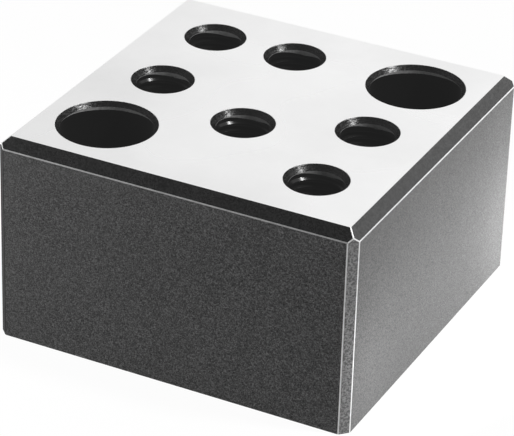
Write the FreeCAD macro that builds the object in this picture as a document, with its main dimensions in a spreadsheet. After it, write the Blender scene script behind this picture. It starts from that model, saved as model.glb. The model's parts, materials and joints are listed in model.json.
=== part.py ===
import FreeCAD, Part
import os
import Sketcher

# A machinist's setup block: one square piece of steel, chamfered round its top and down its
# four corners, with the sharp edges between its sides and chamfers broken.  Two plain bores
# stand on one diagonal, and six threaded holes in the other places.  Every hole goes right
# through and is countersunk at both ends.
#
# Millimetres.  +Z is up, +X is to the right and +Y is to the back.  The origin is the centre
# of the base.  The holes marked as threaded have the diameter of their tapping drill.

SIZES = (
    ("block_width", 100.0, "left side to right side"),
    ("block_depth", 100.0, "front side to back side"),
    ("block_height", 57.0, "base to top face"),
    ("top_chamfer", 2.8, "leg of the 45 degree chamfer round the top face"),
    ("corner_chamfer", 2.2, "leg of the 45 degree chamfer down each upright corner"),
    ("edge_break", 0.2, "leg of the break along each edge between sides and chamfers"),
    ("side_margin", 20.5, "left or right side to the outer holes' axes"),
    ("end_margin", 20.5, "front or back side to the outer holes' axes"),
    ("back_hole_shift", 5.7, "middle hole of the back row, left of the block's centre"),
    ("centre_hole_shift", 11.6, "centre hole, in front of the block's centre"),
    ("bore_diameter", 24.0, "plain bores"),
    ("bore_chamfer", 1.2, "leg of the 45 degree chamfer at each end of a bore"),
    ("thread_diameter", 16.0, "threads, over their roots"),
    ("thread_pitch", 2.0, "threads, from one turn to the next"),
    ("thread_margin", 0.4, "how far a countersink's rim stands outside the thread's roots"),
)

# Distances from the block's centre, as expressions on the sheet.
OUTER_X = "Sizes.block_width / 2 - Sizes.side_margin"
OUTER_Y = "Sizes.block_depth / 2 - Sizes.end_margin"
ON_AXIS = None

# Each hole: its name, then the side of the centre that it is on and its distance, in x and y.
BORES = (
    ("front_left", (-1, OUTER_X), (-1, OUTER_Y)),
    ("back_right", (1, OUTER_X), (1, OUTER_Y)),
)
THREADED_HOLES = (
    ("back_left", (-1, OUTER_X), (1, OUTER_Y)),
    ("back_middle", (-1, "Sizes.back_hole_shift"), (1, OUTER_Y)),
    ("left_middle", (-1, OUTER_X), (0, ON_AXIS)),
    ("centre", (0, ON_AXIS), (-1, "Sizes.centre_hole_shift")),
    ("right_middle", (1, OUTER_X), (0, ON_AXIS)),
    ("front_right", (1, OUTER_X), (-1, OUTER_Y)),
)
TAPPING_DRILL = "Sizes.thread_diameter - Sizes.thread_pitch"
THREAD_CHAMFER = "Sizes.thread_pitch / 2 + Sizes.thread_margin"

SAME = 1e-4        # two lengths nearer than this, in millimetres, are the same one
FIRST_GUESS = 10.0  # where a sketch's points start, before its constraints place them


def add_sizes(doc):
    """The sheet of driving sizes, one named cell each."""
    sheet = doc.addObject("Spreadsheet::Sheet", "Sizes")
    for row, (name, value, meaning) in enumerate(SIZES, start=1):
        sheet.set(f"A{row}", name)
        sheet.set(f"B{row}", str(value))
        sheet.set(f"C{row}", meaning)
        sheet.setAlias(f"B{row}", name)
    doc.recompute()
    return sheet


def add_sketch(body, name, height=None):
    """An empty sketch on the body's base plane, or at a height above it."""
    base_plane = next(f for f in body.Origin.OriginFeatures if f.Role == "XY_Plane")
    sketch = body.newObject("Sketcher::SketchObject", name)
    sketch.AttachmentSupport = [(base_plane, "")]
    sketch.MapMode = "FlatFace"
    if height:
        sketch.setExpression("AttachmentOffset.Base.z", height)
    return sketch


def axis_number(axis):
    """Sketcher's number for one of a sketch's own axes: they count down from minus one."""
    return -1 - ("X", "Y").index(axis)


def point_number(name):
    """Sketcher's number for a point of a line or a circle, where nought is the whole curve."""
    return ("whole", "start", "end", "centre").index(name)


def origin():
    """The point that Sketcher takes as a sketch's origin."""
    return axis_number("X"), point_number("start")


def constrain(sketch, name, size, kind, *where):
    """Add a named dimension to a sketch and tie it to an expression on the sheet."""
    index = sketch.addConstraint(Sketcher.Constraint(kind, *where, FIRST_GUESS))
    sketch.renameConstraint(index, name)
    sketch.setExpression(f"Constraints.{name}", size)


def draw_outline(sketch):
    """The block's plan: a rectangle about the origin."""
    far = FIRST_GUESS
    corners = [FreeCAD.Vector(x, y, 0) for x, y in ((-far, -far), (far, -far), (far, far), (-far, far))]
    for here, there in zip(corners, corners[1:] + corners[:1]):
        sketch.addGeometry(Part.LineSegment(here, there), False)
    front, right, back, left = range(len(corners))
    start, end = point_number("start"), point_number("end")
    for line, following in ((front, right), (right, back), (back, left), (left, front)):
        sketch.addConstraint(Sketcher.Constraint("Coincident", line, end, following, start))
    for line in (front, back):
        sketch.addConstraint(Sketcher.Constraint("Horizontal", line))
    for line in (left, right):
        sketch.addConstraint(Sketcher.Constraint("Vertical", line))
    sketch.addConstraint(Sketcher.Constraint("Symmetric", front, start, back, start, *origin()))
    constrain(sketch, "width", "Sizes.block_width", "DistanceX", front, start, front, end)
    constrain(sketch, "depth", "Sizes.block_depth", "DistanceY", right, start, right, end)


def place_centre(sketch, circle, axis, name, side, distance):
    """Hold a circle's centre at a distance from the origin along an axis, or level with it."""
    centre = (circle, point_number("centre"))
    if side == 0:
        across = axis_number("Y" if axis == "X" else "X")
        sketch.addConstraint(Sketcher.Constraint("PointOnObject", *centre, across))
        return
    start, end = (origin(), centre) if side > 0 else (centre, origin())
    constrain(sketch, f"{name}_{axis.lower()}", distance, "Distance" + axis, *start, *end)


def draw_holes(sketch, holes, diameter):
    """A circle for each hole, placed from the block's centre, all of one diameter."""
    circles = []
    for name, (side_x, distance_x), (side_y, distance_y) in holes:
        start = FreeCAD.Vector(side_x * FIRST_GUESS, side_y * FIRST_GUESS, 0)
        circle = sketch.addGeometry(Part.Circle(start, FreeCAD.Vector(0, 0, 1), 1), False)
        place_centre(sketch, circle, "X", name, side_x, distance_x)
        place_centre(sketch, circle, "Y", name, side_y, distance_y)
        circles.append(circle)
    for circle in circles[1:]:
        sketch.addConstraint(Sketcher.Constraint("Equal", circles[0], circle))
    constrain(sketch, "diameter", diameter, "Diameter", circles[0])


def add_holes(body, name, holes, diameter):
    """Drill holes of one diameter from the top face right through the block."""
    doc = body.Document
    sketch = add_sketch(body, name + "_plan", height="Sizes.block_height")
    draw_holes(sketch, holes, diameter)
    doc.recompute()
    before = body.Shape.Volume
    hole = body.newObject("PartDesign::Hole", name)
    hole.Profile = sketch
    doc.recompute()
    hole.ThreadType = "None"
    hole.DepthType = "ThroughAll"
    hole.setExpression("Diameter", diameter)
    doc.recompute()
    radius = hole.Diameter.Value / 2
    drilled = len(holes) * Part.makeCylinder(radius, body.Shape.BoundBox.ZLength).Volume
    if abs(before - drilled - hole.Shape.Volume) > before * SAME:
        raise ValueError(name + " do not pass through the block")
    return hole


def add_chamfer(body, name, is_chamfered, size):
    """Chamfer at 45 degrees every edge of the body that passes a test."""
    base = body.Tip
    edges = [f"Edge{i}" for i, edge in enumerate(base.Shape.Edges, start=1) if is_chamfered(edge)]
    if not edges:
        raise ValueError(name + " finds no edge")
    chamfer = body.newObject("PartDesign::Chamfer", name)
    chamfer.Base = (base, edges)
    chamfer.setExpression("Size", size)
    body.Document.recompute()
    if not chamfer.Shape.Volume < base.Shape.Volume:
        raise ValueError(name + " takes nothing off")
    return chamfer


def is_upright(edge):
    """Whether an edge is straight and stands along Z."""
    if not isinstance(edge.Curve, Part.Line):
        return False
    direction = edge.Vertexes[1].Point - edge.Vertexes[0].Point
    return FreeCAD.Vector(direction.x, direction.y, 0).Length < SAME


def is_level_at(edge, height):
    """Whether all of an edge lies at one height."""
    return all(abs(z - height) < SAME for z in (edge.BoundBox.ZMin, edge.BoundBox.ZMax))


def is_between(edge, base, top):
    """Whether an edge belongs to neither the base nor the top face."""
    return not is_level_at(edge, base) and not is_level_at(edge, top)


def is_mouth(edge, hole):
    """Whether an edge is the rim of one of a hole feature's holes."""
    return isinstance(edge.Curve, Part.Circle) and abs(2 * edge.Curve.Radius - hole.Diameter.Value) < SAME


def add_setup_block(doc):
    """The block: padded, chamfered, drilled, and countersunk from both ends."""
    body = doc.addObject("PartDesign::Body", "setup_block")
    body.Label = "setup_block"

    outline = add_sketch(body, "outline")
    draw_outline(outline)
    pad = body.newObject("PartDesign::Pad", "blank")
    pad.Profile = outline
    pad.setExpression("Length", "Sizes.block_height")
    doc.recompute()

    base, top = pad.Shape.BoundBox.ZMin, pad.Shape.BoundBox.ZMax
    add_chamfer(body, "top_edges", lambda edge: is_level_at(edge, top), "Sizes.top_chamfer")
    add_chamfer(body, "corners", is_upright, "Sizes.corner_chamfer")
    add_chamfer(body, "edge_breaks", lambda edge: is_between(edge, base, top), "Sizes.edge_break")

    bores = add_holes(body, "bores", BORES, "Sizes.bore_diameter")
    add_chamfer(body, "bore_mouths", lambda edge: is_mouth(edge, bores), "Sizes.bore_chamfer")
    drilled = add_holes(body, "threaded_holes", THREADED_HOLES, TAPPING_DRILL)
    add_chamfer(body, "thread_mouths", lambda edge: is_mouth(edge, drilled), THREAD_CHAMFER)
    return body


def check(doc, bodies):
    """Stop if any object failed, or if a sub-part is not one valid solid."""
    doc.recompute()
    for item in doc.Objects:
        if "Invalid" in item.State or "Error" in item.State:
            raise ValueError(f"{item.Label}: {item.State}")
    for body in bodies:
        shape = body.Shape
        if shape.isNull() or not shape.isValid() or len(shape.Solids) != 1:
            raise ValueError(body.Label + " is not one valid solid")


def main():
    doc = FreeCAD.newDocument("setup_block")
    add_sizes(doc)
    bodies = [add_setup_block(doc)]
    check(doc, bodies)
    os.makedirs("parts", exist_ok=True)
    for body in bodies:
        body.Shape.exportStep(f"parts/{body.Label}.step")


main()
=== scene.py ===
import json
import math

import bmesh
import bpy
from mathutils import Matrix, Vector


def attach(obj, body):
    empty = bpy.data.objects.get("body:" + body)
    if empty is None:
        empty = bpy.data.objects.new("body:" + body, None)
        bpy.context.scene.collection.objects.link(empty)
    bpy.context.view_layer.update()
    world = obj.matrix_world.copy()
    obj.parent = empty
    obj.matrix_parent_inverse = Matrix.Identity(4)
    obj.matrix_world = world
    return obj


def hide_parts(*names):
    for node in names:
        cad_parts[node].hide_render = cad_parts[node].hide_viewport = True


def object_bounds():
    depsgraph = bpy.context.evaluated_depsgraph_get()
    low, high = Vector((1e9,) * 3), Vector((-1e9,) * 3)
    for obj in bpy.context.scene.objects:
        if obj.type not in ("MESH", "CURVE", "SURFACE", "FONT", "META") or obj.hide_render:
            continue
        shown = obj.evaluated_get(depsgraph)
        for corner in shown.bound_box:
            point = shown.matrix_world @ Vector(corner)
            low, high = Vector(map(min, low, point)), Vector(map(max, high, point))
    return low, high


# A machinist's setup block.  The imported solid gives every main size; this script dresses it:
# threads in the small holes, worn edges, and the finish of each kind of surface.
# Metres, +Z up, origin at the centre of the base.

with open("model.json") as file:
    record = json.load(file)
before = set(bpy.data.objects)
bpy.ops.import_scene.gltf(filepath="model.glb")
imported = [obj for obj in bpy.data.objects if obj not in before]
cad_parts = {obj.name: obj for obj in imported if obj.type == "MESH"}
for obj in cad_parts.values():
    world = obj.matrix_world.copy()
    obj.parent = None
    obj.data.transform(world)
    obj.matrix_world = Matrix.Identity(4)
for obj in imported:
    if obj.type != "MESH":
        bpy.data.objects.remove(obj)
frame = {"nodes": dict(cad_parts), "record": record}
cad_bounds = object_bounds()
LOW, HIGH = cad_bounds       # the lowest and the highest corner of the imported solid's box

MM = 0.001
NODE = "setup_block"

# The linings of the holes.
RIM_WEAR = 0.05 * MM         # leg of the bare strip round each hole's mouth
LAND = 0.8 * MM              # plain wall between a countersink and the first thread
THREAD_PITCH = 2.0 * MM
THREAD_DEPTH = 1.0 * MM      # from the crests, which are on the drilled wall, to the roots
THREAD_RUN_IN = 1.6 * MM     # length over which the first and last threads deepen
THREAD_SEGMENTS = 80
BORE_SEGMENTS = 112
BORE_PITCH = 4 * (HIGH.z - LOW.z)    # longer than any hole, so a plain bore's wall has no turns

# The thread's section over one pitch has four corners: crest flat, flank, root flat, flank.
CORNER_PLACES = (0.0, 4 / 16, 9 / 16, 11 / 16)     # shares of the pitch
CORNER_CUTS = (0.0, 0.0, 1.0, 1.0)                 # shares of the thread's depth

# How many segments each thread's start is turned by, anticlockwise from +X.
THREAD_STARTS = {"thread_back_left": 40, "thread_back_middle": 50, "thread_left_middle": 11,
                 "thread_centre": 12, "thread_right_middle": 60, "thread_front_right": 13}

# Telling the block's faces and points apart.
MERGE = 0.001 * MM           # points of a lining or of the outside closer than this are one
JOIN = 0.002 * MM            # and so are a lining's and the outside's, where the two are joined
SLIVER = 0.0001 * MM         # a shorter edge than this is taken away
SAME = 0.01 * MM             # heights closer than this are level
SAME_PLANE = math.radians(1)
SMOOTH_BELOW = math.radians(15)
FLAT = 0.99                  # the least share along an axis of a flat side's unit normal
BROKEN = 0.9                 # the least share along an axis of the normal of a side's edge break
SLANT_MARGIN = 0.02          # how far apart two shares of a 45 degree normal may be
CORNER_ZONE = 0.9            # share of the half width past which only the block's corners lie


# ---------------------------------------------------------------- sizes from the frame

def read_holes(kind):
    """Each hole of one kind: its axis in plan, its wall's radius and its countersink's leg.

    Its start is the share of a turn by which its thread is turned.
    """
    holes = []
    for mount in frame["record"]["mounts"]:
        if mount["kind"] == kind:
            x, y, _ = mount["pos_m"]
            leg = (HIGH.z - mount["dims"]["length_mm"] * MM) / 2
            start = THREAD_STARTS.get(mount["name"], 0) / THREAD_SEGMENTS
            holes.append({"x": x, "y": y, "radius": mount["dims"]["r_mm"] * MM, "leg": leg,
                          "start": start})
    return holes


# ---------------------------------------------------------------- node trees

class Tree:
    """Adds nodes to a shader or geometry tree.

    Wherever a value is asked for, it is a plain one or the output of another node.
    """

    def __init__(self, tree):
        self.tree = tree

    def put(self, socket, value):
        """Give an input its value."""
        if isinstance(value, bpy.types.NodeSocket):
            self.tree.links.new(value, socket)
        else:
            socket.default_value = value

    def node(self, kind, inputs=None, **settings):
        """A new node with these settings, and these values in its inputs."""
        node = self.tree.nodes.new(kind)
        for name, value in settings.items():
            setattr(node, name, value)
        for name, value in (inputs or {}).items():
            self.put(node.inputs[name], value)
        return node

    def math(self, operation, *values):
        """The result of one operation on one value or two."""
        node = self.node("ShaderNodeMath", operation=operation)
        for socket, value in zip(node.inputs, values):
            self.put(socket, value)
        return node.outputs[0]

    def ramp(self, value, low, high, to_low=0.0, to_high=1.0, smooth=False):
        """Carry a value from one range over to another, and hold it at that one's ends."""
        return self.node("ShaderNodeMapRange", {
            "Value": value, "From Min": low, "From Max": high, "To Min": to_low, "To Max": to_high,
        }, interpolation_type="SMOOTHSTEP" if smooth else "LINEAR").outputs["Result"]

    def parts(self, vector):
        """A vector's X, Y and Z."""
        parts = self.node("ShaderNodeSeparateXYZ", {"Vector": vector}).outputs
        return parts["X"], parts["Y"], parts["Z"]

    def vector(self, x=0.0, y=0.0, z=0.0):
        """A vector from its X, Y and Z."""
        return self.node("ShaderNodeCombineXYZ", {"X": x, "Y": y, "Z": z}).outputs[0]


def grey(level):
    """A grey that gives back this share of the light."""
    return (level, level, level, 1.0)


class Shader(Tree):
    """A material on one Principled shader, with the patterns that its finish is made of."""

    def __init__(self, name):
        self.material = bpy.data.materials.new(name)
        self.material.use_nodes = True
        super().__init__(self.material.node_tree)
        self.place = self.node("ShaderNodeTexCoord").outputs["Object"]

    def noise(self, size, detail=2.0, roughness=0.5, place=None):
        """Noise from about 0 to 1, whose marks are about this size across."""
        return self.node("ShaderNodeTexNoise", {
            "Vector": place or self.place, "Scale": 1 / size, "Detail": detail,
            "Roughness": roughness}).outputs["Fac"]

    def grains(self, size):
        """A number from 0 to 1 for each small grain of this size, with nothing between them."""
        cells = self.node("ShaderNodeTexVoronoi", {"Vector": self.place, "Scale": 1 / size})
        color = self.node("ShaderNodeSeparateColor", {"Color": cells.outputs["Color"]})
        return color.outputs["Red"]

    def in_hole(self):
        """Where a point of a hole's lining is: X and Y from the hole's axis, Z from the top."""
        place = self.node("ShaderNodeAttribute", attribute_name="hole_place")
        return self.parts(place.outputs["Vector"])

    def blend(self, factor, first, second):
        """The first colour where the factor is 0, the second where it is 1.  A number is a grey."""
        node = self.node("ShaderNodeMix", data_type="RGBA", blend_type="MIX", clamp_factor=True)
        self.put(node.inputs[0], factor)
        for socket, value in ((node.inputs[6], first), (node.inputs[7], second)):
            self.put(socket, grey(value) if isinstance(value, float) else value)
        return node.outputs[2]

    def bump(self, value, height):
        """Relief that follows a pattern and is this high."""
        return self.node("ShaderNodeBump", {"Distance": height, "Height": value}).outputs[0]

    def finish(self, color, roughness, normal=None, metallic=0.0, specular=0.5, tint=1.0, painted_glow=0.0):
        """Set the shader's own inputs, and return the material.

        tint is the grey of a metal's reflections where it is seen at a slant, and the last
        is a painted glow: emission that stands in for the faint even light reaching into a deep hole.
        """
        inputs = self.tree.nodes["Principled BSDF"].inputs
        for name, value in (("Base Color", color), ("Roughness", roughness), ("Metallic", metallic),
                            ("Specular IOR Level", specular), ("Specular Tint", grey(tint)),
                            ("Emission Strength", painted_glow)):
            self.put(inputs[name], value)
        if normal:
            self.put(inputs["Normal"], normal)
        return self.material


# ---------------------------------------------------------------- finishes

# How sharply the marks of a pattern show: where they begin, and where they are full.
FAINT = (0.2, 0.8)
SOFT = (0.3, 0.7)
FIRM = (0.35, 0.65)
SHARP = (0.38, 0.62)

# Painted light: an emission glow on the holes' linings, standing in for the faint even light that
# reaches into them.
PAINTED_GLOW = 0.0125         # on the walls
SHALLOW_PAINTED_GLOW = 1.35 * PAINTED_GLOW     # on the countersinks, painted brighter, as more of that light would reach them
LAND_START = math.radians(206)   # which way from a hole's axis its land is narrowest
LAND_PAINTED_SHADE = (0.20, 0.38)     # shares of a turn, clockwise from there, over which painted shade darkens it


def ground_steel():
    """The top and base: bright, with fine grinding lines one way and faint cloudy patches."""
    s = Shader("ground_steel")
    cloudy, lined = (0.94, 0.98), 0.89
    along_x = (0.02, 1, 1)   # draws a pattern out fifty times along X
    long_place = s.node("ShaderNodeMapping", {"Vector": s.place, "Scale": along_x}).outputs[0]
    lines = s.noise(size=0.10 * MM, place=long_place)
    clouds = s.noise(size=14 * MM, detail=3.0, roughness=0.6)
    patches = s.noise(size=42 * MM, detail=1.0)
    color = s.blend(s.ramp(clouds, *SOFT), *cloudy)
    color = s.blend(s.ramp(lines, *FAINT, to_high=0.35), color, lined)
    rough = s.ramp(patches, *SOFT, to_low=0.26, to_high=0.34)
    return s.finish(color, rough, s.bump(lines, height=0.004 * MM), metallic=1.0)


def grained_steel():
    """The sides: dull dark steel with a fine even grain that glistens a little."""
    s = Shader("grained_steel")
    cloudy, specked, glistening = (0.125, 0.145), 0.075, 0.22
    grain = s.grains(size=0.22 * MM)
    specks = s.noise(size=0.30 * MM, roughness=0.6)
    clouds = s.noise(size=9 * MM, detail=3.0, roughness=0.6)
    color = s.blend(s.ramp(clouds, *SOFT), *cloudy)
    color = s.blend(s.ramp(specks, *SHARP), color, specked)
    color = s.blend(s.ramp(grain, low=0.4, high=1.0, to_high=0.8), color, glistening)
    metal = s.ramp(grain, low=0.55, high=1.0, to_high=0.6)
    rough = s.ramp(grain, low=0.0, high=1.0, to_low=0.60, to_high=0.46)
    bump = s.bump(specks, height=0.006 * MM)
    return s.finish(color, rough, bump, metallic=metal, specular=0.15)


def corner_steel():
    """The upright corners, but for the front left one, which gets a darker copy with painted shade:
    the same steel, coarser.
    """
    s = Shader("corner_steel")
    dark, bright = 0.07, 0.26
    grain = s.noise(size=0.55 * MM, roughness=0.6)
    color = s.blend(s.ramp(grain, low=0.42, high=0.62), dark, bright)
    metal = s.ramp(grain, low=0.5, high=0.66, to_high=0.60)
    bump = s.bump(grain, height=0.014 * MM)
    return s.finish(color, roughness=0.42, normal=bump, metallic=metal, specular=0.8)


def dull_corner():
    """The front left corner: a darker copy of the corners' steel that barely reflects, with painted
    shade in its colour.
    """
    s = Shader("dull_corner")
    dark, bright = 0.03, 0.06
    grain = s.noise(size=0.4 * MM, roughness=0.6)
    color = s.blend(s.ramp(grain, *FIRM), dark, bright)
    return s.finish(color, roughness=0.6, normal=s.bump(grain, height=0.006 * MM), specular=0.05)


def dark_chamfer():
    """The chamfers round the top: darker than the sides and smoother."""
    s = Shader("dark_chamfer")
    streaked, grained = (0.008, 0.016), 0.03
    grain = s.noise(size=0.4 * MM, roughness=0.6)
    streaks = s.noise(size=6 * MM)
    color = s.blend(s.ramp(streaks, *SOFT), *streaked)
    color = s.blend(s.ramp(grain, *FIRM, to_high=0.6), color, grained)
    sheen = s.ramp(grain, *SHARP, to_low=0.45, to_high=0.9)
    return s.finish(color, roughness=0.27, normal=s.bump(grain, height=0.005 * MM), specular=sheen)


def bare_edge(name, dark, bright):
    """Bare metal where an edge has been broken, between two greys."""
    s = Shader(name)
    wear = s.noise(size=1.5 * MM)
    color = s.blend(s.ramp(wear, *SOFT), dark, bright)
    rough = s.ramp(wear, *SOFT, to_low=0.35, to_high=0.5)
    return s.finish(color, rough, metallic=0.3)


def turned_countersink():
    """Blackened steel with the cutter's rings round it, which break its sheen into specks."""
    s = Shader("turned_countersink")
    black, sheen = 0.002, 0.042
    along_ring = 0.2         # how fast the rings' pattern changes along them, against across
    half = 0.5               # the share of each pattern where the two are mixed
    x, y, _ = s.in_hole()
    radius = s.math("SQRT", s.math("ADD", s.math("MULTIPLY", x, x), s.math("MULTIPLY", y, y)))
    ring_place = s.vector(radius, s.math("MULTIPLY", x, along_ring), s.math("MULTIPLY", y, along_ring))
    rings = s.noise(size=0.22 * MM, roughness=0.6, place=ring_place)
    specks = s.noise(size=0.30 * MM, roughness=0.7)
    both = s.math("ADD", s.math("MULTIPLY", rings, half), s.math("MULTIPLY", specks, half))
    color = s.blend(s.ramp(both, low=0.44, high=0.62), black, sheen)
    rough = s.ramp(specks, *FIRM, to_low=0.16, to_high=0.34)
    bump = s.bump(both, height=0.05 * MM)
    # Its glow is painted light: emission that stands in for the faint light reaching into the hole.
    return s.finish(color, rough, bump, metallic=1.0, tint=0.5, painted_glow=SHALLOW_PAINTED_GLOW)


def hole_wall(name, foot, narrow, wide, widens, narrows):
    """Blackened steel with a paler land under the countersink, whose foot is at this depth.

    The land is narrow at first.  Clockwise round the hole, over the shares of a turn in
    widens it comes to its full width, and over those in narrows it runs out.
    """
    s = Shader(name)
    pale, shaded_land, black = (0.26, 0.38), 0.12, (0.003, 0.005)
    blur = 0.06 * MM         # how far to each side of its lower edge the land fades
    x, y, z = s.in_hole()
    down = s.math("MULTIPLY", z, -1)
    near_end = s.math("MINIMUM", down, s.math("SUBTRACT", HIGH.z, down))
    clockwise = s.math("SUBTRACT", LAND_START + math.tau, s.math("ARCTAN2", y, x))
    turn = s.math("FRACT", s.math("DIVIDE", clockwise, math.tau))
    width = s.math("MINIMUM", s.ramp(turn, *widens, narrow, wide, smooth=True),
                   s.ramp(turn, *narrows, wide, 0.0, smooth=True))
    depth = s.math("SUBTRACT", near_end, foot)
    below = s.ramp(s.math("SUBTRACT", depth, width), -blur, blur)
    mottle = s.noise(size=0.6 * MM, detail=3.0, roughness=0.7)
    marks = s.ramp(mottle, low=0.4, high=0.65)
    # Painted shade: the land darkens round the same way in every hole.
    land = s.blend(s.ramp(turn, *LAND_PAINTED_SHADE), s.blend(marks, *pale), shaded_land)
    # Below the land: black oxide kept so dark that the lamps barely show on it; the painted glow then
    # gives it its even dark grey.
    color = s.blend(below, land, s.blend(marks, *black))
    rough = s.ramp(below, low=0.0, high=1.0, to_low=0.45, to_high=0.18)
    bump = s.bump(mottle, height=0.004 * MM)
    # The glow is painted light: emission that stands in for the faint light reaching into the hole.
    return s.finish(color, rough, bump, specular=0.25, painted_glow=PAINTED_GLOW)


def threaded_wall():
    """The wall of a threaded hole, whose land is a thin line before it widens."""
    foot = read_holes("threaded_hole")[0]["leg"]
    return hole_wall("threaded_wall", foot, narrow=0.12 * MM, wide=1.3 * MM,
                     widens=(0.10, 0.34), narrows=(0.30, 0.50))


def bore_wall():
    """The wall of a plain bore, whose land starts from nothing and stays thinner."""
    foot = read_holes("bore")[0]["leg"]
    return hole_wall("bore_wall", foot, narrow=0.0, wide=0.85 * MM,
                     widens=(0.02, 0.24), narrows=(0.30, 0.47))


# ---------------------------------------------------------------- hole linings

class Lining(Tree):
    """A geometry tree that puts the surface inside a hole on each point of a mesh."""

    INPUTS = (
        ("Hole length", "NodeSocketFloat"), ("Wall radius", "NodeSocketFloat"),
        ("Countersink leg", "NodeSocketFloat"), ("Rim wear", "NodeSocketFloat"),
        ("Land", "NodeSocketFloat"), ("Pitch", "NodeSocketFloat"),
        ("Thread depth", "NodeSocketFloat"), ("Run-in", "NodeSocketFloat"),
        ("Segments", "NodeSocketInt"), ("Merge", "NodeSocketFloat"),
        ("Countersink finish", "NodeSocketMaterial"), ("Wall finish", "NodeSocketMaterial"),
        ("Rim finish", "NodeSocketMaterial"),
    )

    def __init__(self):
        super().__init__(bpy.data.node_groups.new("hole_lining", "GeometryNodeTree"))
        interface = self.tree.interface
        interface.new_socket("Geometry", in_out="INPUT", socket_type="NodeSocketGeometry")
        for name, kind in self.INPUTS:
            interface.new_socket(name, in_out="INPUT", socket_type=kind)
        interface.new_socket("Geometry", in_out="OUTPUT", socket_type="NodeSocketGeometry")
        self.given = self.node("NodeGroupInput").outputs
        self.wall_top = self.math("ADD", self.given["Countersink leg"], self.given["Land"])
        self.wall_end = self.math("SUBTRACT", self.given["Hole length"], self.wall_top)
        placed, place = self.copy_to_points(self.join_parts())
        finished = self.set_finishes(placed, place)
        self.tree.links.new(finished, self.node("NodeGroupOutput").inputs[0])

    def position(self):
        """Where each point is."""
        return self.node("GeometryNodeInputPosition").outputs[0]

    def attribute(self, name, kind):
        """What each point stores under a name."""
        return self.node("GeometryNodeInputNamedAttribute", {"Name": name},
                         data_type=kind).outputs["Attribute"]

    def store(self, geometry, name, value):
        """Store a vector on each point under a name."""
        return self.node("GeometryNodeStoreNamedAttribute", {
            "Geometry": geometry, "Name": name, "Value": value,
        }, data_type="FLOAT_VECTOR", domain="POINT").outputs[0]

    def pick(self, index, values):
        """The one of several values that has this number, counted from 0."""
        node = self.node("GeometryNodeIndexSwitch", data_type="FLOAT")
        while len(node.index_switch_items) < len(values):
            node.index_switch_items.new()
        self.put(node.inputs["Index"], index)
        for place, value in enumerate(values):
            self.put(node.inputs[str(place)], value)
        return node.outputs[0]

    def sheet(self, rows, shape):
        """A grid of rows round a full turn.  shape(turn, row) is a point's radius and depth."""
        side = 1.0
        half = side / 2
        grid = self.node("GeometryNodeMeshGrid", {
            "Size X": side, "Size Y": side,
            "Vertices X": self.math("ADD", self.given["Segments"], 1), "Vertices Y": rows})
        x, y, _ = self.parts(self.position())
        turn = self.math("ADD", x, half)
        last = self.math("SUBTRACT", rows, 1)
        row = self.math("ROUND", self.math("MULTIPLY", self.math("ADD", y, half), last))
        radius, down = shape(turn, row)
        angle = self.math("MULTIPLY", turn, -math.tau)
        place = self.vector(self.math("MULTIPLY", radius, self.math("COSINE", angle)),
                            self.math("MULTIPLY", radius, self.math("SINE", angle)),
                            self.math("MULTIPLY", down, -1))
        return self.node("GeometryNodeSetPosition", {
            "Geometry": grid.outputs["Mesh"], "Position": place}).outputs[0]

    def mouth(self, flipped):
        """A worn rim, a countersink and a plain land: the top mouth or, flipped, the lower."""
        wear, leg, wall = (self.given[k] for k in ("Rim wear", "Countersink leg", "Wall radius"))
        rim = self.math("ADD", wall, leg)
        radii = (self.math("ADD", rim, wear), self.math("SUBTRACT", rim, wear), wall, wall)
        depths = (0.0, wear, leg, self.wall_top)

        def shape(_, row):
            down = self.pick(row, depths)
            if flipped:
                down = self.math("SUBTRACT", self.given["Hole length"], down)
            return self.pick(row, radii), down

        return self.sheet(len(radii), shape)

    def wall(self):
        """The wall, as one strip of rows that wind down the hole.

        There is a pitch to spare at each end.  A row that would start above the wall or end
        below it is held at its end, where its points merge into the mouth's last ring.
        """
        pitch, top, end = self.given["Pitch"], self.wall_top, self.wall_end
        corners, spare_pitches = len(CORNER_PLACES), 2
        pitches = self.math("CEIL", self.math("DIVIDE", self.math("SUBTRACT", end, top), pitch))
        rows = self.math("MULTIPLY", self.math("ADD", pitches, spare_pitches), corners)

        def shape(turn, row):
            half_a_row = 0.5     # keeps a pitch's first row from being counted with the one before
            whole = self.math("FLOOR", self.math("DIVIDE", self.math("ADD", row, half_a_row), corners))
            corner = self.math("SUBTRACT", row, self.math("MULTIPLY", whole, corners))
            along = self.math("ADD", self.math("ADD", whole, turn), self.pick(corner, CORNER_PLACES))
            start = self.math("SUBTRACT", top, pitch)
            down = self.math("ADD", start, self.math("MULTIPLY", along, pitch))
            down = self.math("MINIMUM", self.math("MAXIMUM", down, top), end)
            from_end = self.math("MINIMUM", self.math("SUBTRACT", down, top),
                                 self.math("SUBTRACT", end, down))
            run_in = self.ramp(from_end, 0.0, self.given["Run-in"], smooth=True)
            cut = self.math("MULTIPLY", run_in, self.pick(corner, CORNER_CUTS))
            deeper = self.math("MULTIPLY", cut, self.given["Thread depth"])
            return self.math("ADD", self.given["Wall radius"], deeper), down

        return self.sheet(rows, shape)

    def join_parts(self):
        """The two mouths and the wall, as one surface."""
        parts = self.node("GeometryNodeJoinGeometry")
        for part in (self.mouth(flipped=False), self.mouth(flipped=True), self.wall()):
            self.tree.links.new(part, parts.inputs[0])
        return self.node("GeometryNodeMergeByDistance", {
            "Geometry": parts.outputs[0], "Distance": self.given["Merge"]}).outputs[0]

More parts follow.
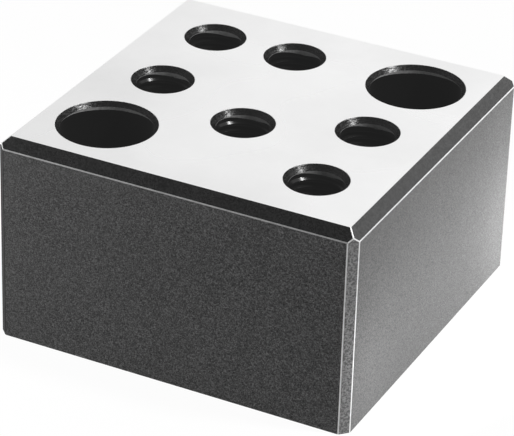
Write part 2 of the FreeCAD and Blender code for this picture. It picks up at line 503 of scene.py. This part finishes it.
    def copy_to_points(self, lining):
        """The lining on each point of the mesh, turned by its start, and each place in its hole."""
        axes = self.store(self.given["Geometry"], "hole_axis", self.position())
        spin = self.vector(z=self.math("MULTIPLY", self.attribute("start", "FLOAT"), math.tau))
        turned = self.node("FunctionNodeEulerToRotation", {"Euler": spin}).outputs[0]
        copies = self.node("GeometryNodeInstanceOnPoints", {
            "Points": axes, "Instance": lining, "Rotation": turned}).outputs[0]
        real = self.node("GeometryNodeRealizeInstances", {"Geometry": copies}).outputs[0]
        axis = self.attribute("hole_axis", "FLOAT_VECTOR")
        place = self.node("ShaderNodeVectorMath", {0: self.position(), 1: axis},
                          operation="SUBTRACT").outputs[0]
        return self.store(real, "hole_place", place), place

    def set_finishes(self, geometry, place):
        """The wall's finish everywhere, then the countersinks' and the rims' at their depths."""
        down = self.math("MULTIPLY", self.parts(place)[2], -1)
        near_end = self.math("MINIMUM", down, self.math("SUBTRACT", self.given["Hole length"], down))
        geometry = self.node("GeometryNodeSetMaterial", {
            "Geometry": geometry, "Material": self.given["Wall finish"]}).outputs[0]
        for limit, finish in (("Countersink leg", "Countersink finish"), ("Rim wear", "Rim finish")):
            above = self.math("LESS_THAN", near_end, self.given[limit])
            geometry = self.node("GeometryNodeSetMaterial", {
                "Geometry": geometry, "Selection": above, "Material": self.given[finish]}).outputs[0]
        return geometry


def line_holes(name, tree, holes, values):
    """The linings of holes that share a size, as one plain mesh object."""
    points = bpy.data.meshes.new(name)
    points.from_pydata([(h["x"], h["y"], HIGH.z) for h in holes], [], [])
    starts = points.attributes.new("start", "FLOAT", "POINT")
    starts.data.foreach_set("value", [h["start"] for h in holes])
    carrier = bpy.data.objects.new(name, points)
    bpy.context.scene.collection.objects.link(carrier)
    modifier = carrier.modifiers.new(name, "NODES")
    modifier.node_group = tree
    sizes = {"Wall radius": holes[0]["radius"], "Countersink leg": holes[0]["leg"], **values}
    for socket in tree.interface.items_tree:
        if socket.in_out == "INPUT" and socket.name in sizes:
            modifier[socket.identifier] = sizes[socket.name]
    graph = bpy.context.evaluated_depsgraph_get()
    mesh = bpy.data.meshes.new_from_object(carrier.evaluated_get(graph))
    carrier.modifiers.clear()
    carrier.data = mesh
    return carrier


def line_all(threaded, bores, slots):
    """The linings of the threaded holes and of the plain bores."""
    tree = Lining().tree
    shared = {"Hole length": HIGH.z - LOW.z, "Rim wear": RIM_WEAR, "Land": LAND, "Merge": MERGE,
              "Run-in": THREAD_RUN_IN, "Countersink finish": slots["countersink"],
              "Rim finish": slots["edge"]}
    threads = line_holes("threads", tree, threaded, {
        **shared, "Pitch": THREAD_PITCH, "Thread depth": THREAD_DEPTH,
        "Segments": THREAD_SEGMENTS, "Wall finish": slots["thread"]})
    plain = line_holes("bore_walls", tree, bores, {
        **shared, "Pitch": BORE_PITCH, "Thread depth": 0.0,
        "Segments": BORE_SEGMENTS, "Wall finish": slots["bore"]})
    return [threads, plain]


# ---------------------------------------------------------------- the block

def finish_of(normal):
    """The finish of a flat face of the block's outside, from the way it faces."""
    x, y, z = normal
    along, across = sorted((abs(x), abs(y)))
    upright = abs(z) < SLANT_MARGIN
    if abs(z) > FLAT:
        return "ground"
    if across > FLAT:
        return "side"
    if abs(across - abs(z)) < SLANT_MARGIN and along < SLANT_MARGIN:
        return "chamfer"
    # The front left corner gets a darker copy of the corners' finish, with painted shade.
    if upright and x < 0 and y < 0:
        return "painted_shade"
    if upright and across - along < SLANT_MARGIN:
        return "corner"
    # The front's edge breaks get a darker copy of the bare edge, with painted shade.
    if y < -BROKEN and not upright:
        return "front_edge"
    return "edge"


def block_shell(finishes):
    """The block's outside before its holes.  It is convex, so it is the hull of its corners."""
    shell = bmesh.new()
    for vertex in frame["nodes"][NODE].data.vertices:
        if min(abs(vertex.co.x) / HIGH.x, abs(vertex.co.y) / HIGH.y) > CORNER_ZONE:
            shell.verts.new(vertex.co)
    bmesh.ops.remove_doubles(shell, verts=shell.verts, dist=MERGE)
    bmesh.ops.convex_hull(shell, input=shell.verts)
    bmesh.ops.dissolve_limit(shell, angle_limit=SAME_PLANE, verts=shell.verts, edges=shell.edges)
    bmesh.ops.recalc_face_normals(shell, faces=shell.faces)
    for face in shell.faces:
        face.material_index = finishes.index(finish_of(face.normal))
    return shell


def open_face(shell, z, rims):
    """Replace the flat face at a height with one that has a round opening for each rim."""
    face = next(f for f in shell.faces if all(abs(v.co.z - z) < SAME for v in f.verts))
    index = face.material_index
    outer = list(face.verts)
    bmesh.ops.delete(shell, geom=[face], context="FACES_ONLY")
    loops = [outer] + [[shell.verts.new((x, y, z)) for x, y in rim] for rim in rims]
    edges = []
    for loop in loops:
        for a, b in zip(loop, loop[1:] + loop[:1]):
            edges.append(shell.edges.get((a, b)) or shell.edges.new((a, b)))
    made = bmesh.ops.triangle_fill(shell, use_beauty=True, use_dissolve=False, edges=edges)
    for new in made["geom"]:
        if isinstance(new, bmesh.types.BMFace):
            new.material_index = index


def rim_points(hole, segments):
    """The points of a hole's outer rim, where its lining's first ring lies."""
    radius = hole["radius"] + hole["leg"] + RIM_WEAR
    turns = [-math.tau * i / segments for i in range(segments)]
    return [(hole["x"] + radius * math.cos(a), hole["y"] + radius * math.sin(a)) for a in turns]


def close_up(block, linings):
    """Join the block's outside to the linings of its holes, and shade the linings smooth."""
    whole = bmesh.new()
    whole.from_mesh(block.data)
    bmesh.ops.remove_doubles(whole, verts=whole.verts, dist=JOIN)
    bmesh.ops.dissolve_degenerate(whole, edges=whole.edges, dist=SLIVER)
    bmesh.ops.recalc_face_normals(whole, faces=whole.faces)
    for face in whole.faces:
        face.smooth = face.material_index in linings
    for edge in whole.edges:
        curved = all(face.smooth for face in edge.link_faces)
        edge.smooth = curved and edge.calc_face_angle() < SMOOTH_BELOW
    whole.to_mesh(block.data)
    whole.free()


def build_block(slots):
    """The whole block as one closed mesh: its outside joined to the linings of its holes."""
    threaded, bores = read_holes("threaded_hole"), read_holes("bore")
    shell = block_shell(list(slots))
    rims = [rim_points(hole, THREAD_SEGMENTS) for hole in threaded]
    rims += [rim_points(hole, BORE_SEGMENTS) for hole in bores]
    open_face(shell, HIGH.z, rims)
    open_face(shell, LOW.z, rims)
    mesh = bpy.data.meshes.new("steel_block")
    shell.to_mesh(mesh)
    shell.free()
    for finish in slots.values():
        mesh.materials.append(finish)
    block = bpy.data.objects.new("steel_block", mesh)
    bpy.context.scene.collection.objects.link(block)
    joined = [block] + line_all(threaded, bores, slots)
    with bpy.context.temp_override(active_object=block, selected_editable_objects=joined):
        bpy.ops.object.join()
    mesh.materials.pop()     # an empty slot, which came with the linings and which no face uses
    lining_slots = ("countersink", "thread", "bore", "edge")
    close_up(block, {mesh.materials.find(slots[k].name) for k in lining_slots})
    return block


# ---------------------------------------------------------------- stage, light and camera

def seen_or_reflected(tree):
    """1 for a ray from the camera, a reflection or glass, and 0 for any other."""
    path = tree.node("ShaderNodeLightPath").outputs
    either = tree.math("MAXIMUM", path["Is Camera Ray"], path["Is Glossy Ray"])
    return tree.math("MAXIMUM", either, path["Is Transmission Ray"])


def make_floor(size, shade, bounce, shadow_share):
    """A white floor that keeps a little of the block's shadow, and lights it only softly."""
    mesh = bpy.data.meshes.new("floor")
    half = size / 2
    corners = [(-half, -half, 0), (half, -half, 0), (half, half, 0), (-half, half, 0)]
    mesh.from_pydata(corners, [], [range(len(corners))])
    floor = bpy.data.objects.new("floor", mesh)
    bpy.context.scene.collection.objects.link(floor)
    material = bpy.data.materials.new("white_floor")
    material.use_nodes = True
    t = Tree(material.node_tree)
    t.tree.nodes.clear()
    white = t.node("ShaderNodeEmission", {"Color": grey(1.0), "Strength": 1.0}).outputs[0]
    lit = t.node("ShaderNodeBsdfDiffuse", {"Color": grey(shade)}).outputs[0]
    soft = t.node("ShaderNodeBsdfDiffuse", {"Color": grey(bounce)}).outputs[0]
    looks = t.node("ShaderNodeMixShader", {"Fac": shadow_share, 1: white, 2: lit})
    both = t.node("ShaderNodeMixShader", {"Fac": seen_or_reflected(t), 1: soft, 2: looks.outputs[0]})
    t.node("ShaderNodeOutputMaterial", {"Surface": both.outputs[0]})
    mesh.materials.append(material)


def make_world(ambient, ceiling, wall_top, bright_side, wall_fade):
    """A studio: where it is seen or reflected, white walls under a dim ceiling, and else dim.

    wall_top holds the sines of the heights between which the walls end.  The walls are
    brightest towards bright_side: wall_fade is two shares of that way and the levels there.
    """
    world = bpy.data.worlds.new("studio")
    world.use_nodes = True
    bpy.context.scene.world = world
    t = Tree(world.node_tree)
    t.tree.nodes.clear()
    dim = t.node("ShaderNodeBackground", {"Color": grey(1.0), "Strength": ambient}).outputs[0]
    way = t.node("ShaderNodeTexCoord").outputs["Generated"]
    sideways = t.node("ShaderNodeVectorMath", {0: way, 1: bright_side}, operation="DOT_PRODUCT")
    walls = t.ramp(sideways.outputs["Value"], *wall_fade)
    height = t.ramp(t.parts(way)[2], *wall_top, to_low=1.0, to_high=0.0, smooth=True)
    level = t.ramp(height, 0.0, 1.0, ceiling, walls)
    room = t.node("ShaderNodeBackground", {"Color": grey(1.0), "Strength": level}).outputs[0]
    both = t.node("ShaderNodeMixShader", {"Fac": seen_or_reflected(t), 1: dim, 2: room})
    t.node("ShaderNodeOutputWorld", {"Surface": both.outputs[0]})


def area_light(name, away, size, power, mirrored=True):
    """A softbox that looks at the middle of the block, from this far away along X, Y and Z."""
    light = bpy.data.lights.new(name, "AREA")
    light.shape = "RECTANGLE"
    light.size, light.size_y = size
    light.energy = power
    lamp = bpy.data.objects.new(name, light)
    lamp.location = (LOW + HIGH) / 2 + Vector(away)
    lamp.rotation_euler = Vector(away).to_track_quat("Z", "Y").to_euler()
    lamp.visible_glossy = mirrored
    lamp.visible_camera = False
    bpy.context.scene.collection.objects.link(lamp)


def make_camera(azimuth, elevation, roll, pivot_height, distance, aim, lens, clip):
    """A camera round the block's axis.

    It turns about a pivot on that axis.  aim is where it looks, off the pivot, along the
    picture's sides.  pivot_height, distance and aim are shares of the block's width.
    """
    width = HIGH.x - LOW.x
    a, e, r = (math.radians(v) for v in (azimuth, elevation, roll))
    back = Vector((math.sin(a) * math.cos(e), -math.cos(a) * math.cos(e), math.sin(e)))
    level = Vector((math.cos(a), math.sin(a), 0))
    rise = back.cross(level)
    right = level * math.cos(r) + rise * math.sin(r)
    up = rise * math.cos(r) - level * math.sin(r)
    pivot = Vector((0, 0, pivot_height * width))
    data = bpy.data.cameras.new("camera")
    data.lens = lens
    data.clip_start, data.clip_end = clip
    camera = bpy.data.objects.new("camera", data)
    turn = Matrix((right, up, back)).transposed().to_4x4()
    place = pivot + (back * distance - right * aim[0] - up * aim[1]) * width
    camera.matrix_world = Matrix.Translation(place) @ turn
    bpy.context.scene.collection.objects.link(camera)
    bpy.context.scene.camera = camera


# ---------------------------------------------------------------- the scene

slots = {
    "ground": ground_steel(),
    "side": grained_steel(),
    "chamfer": dark_chamfer(),
    "corner": corner_steel(),
    # the front left corner: a darker copy with painted shade
    "painted_shade": dull_corner(),
    "edge": bare_edge("bare_edge", dark=0.72, bright=0.88),
    # the front's edge breaks: the bare edge darkened by painted shade
    "front_edge": bare_edge("front_edge", dark=0.46, bright=0.60),
    "countersink": turned_countersink(),
    "thread": threaded_wall(),
    "bore": bore_wall(),
}
block = build_block(slots)
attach(block, "root")
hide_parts(NODE)

make_floor(size=8.0, shade=0.95, bounce=0.2, shadow_share=0.04)
make_world(ambient=0.12, ceiling=0.12, wall_top=(0.62, 0.84),
           bright_side=(0.8, 0.6, 0.0), wall_fade=(-0.18, 0.18, 0.46, 1.0))
area_light("key_softbox", away=(0.9315, 0.2103, 1.1568), size=(0.16, 0.36), power=19.0)
for name, away, power in (("low_fill_near", (0.075, -0.040, -0.0165), 0.0090),
                          ("low_fill_middle", (0.085, 0.0, -0.0165), 0.0095),
                          ("low_fill_far", (0.085, 0.060, -0.0165), 0.0520)):
    area_light(name, away, size=(0.02, 0.02), power=power, mirrored=False)
area_light("fill_left", away=(-0.187, -0.092, 0.070), size=(0.12, 0.12), power=0.26, mirrored=False)
make_camera(azimuth=26.08, elevation=28.99, roll=1.88, pivot_height=0.3, distance=7.645,
            aim=(0.0094, 0.0543), lens=204.9, clip=(0.01, 100))
bpy.context.scene.view_settings.view_transform = "Standard"
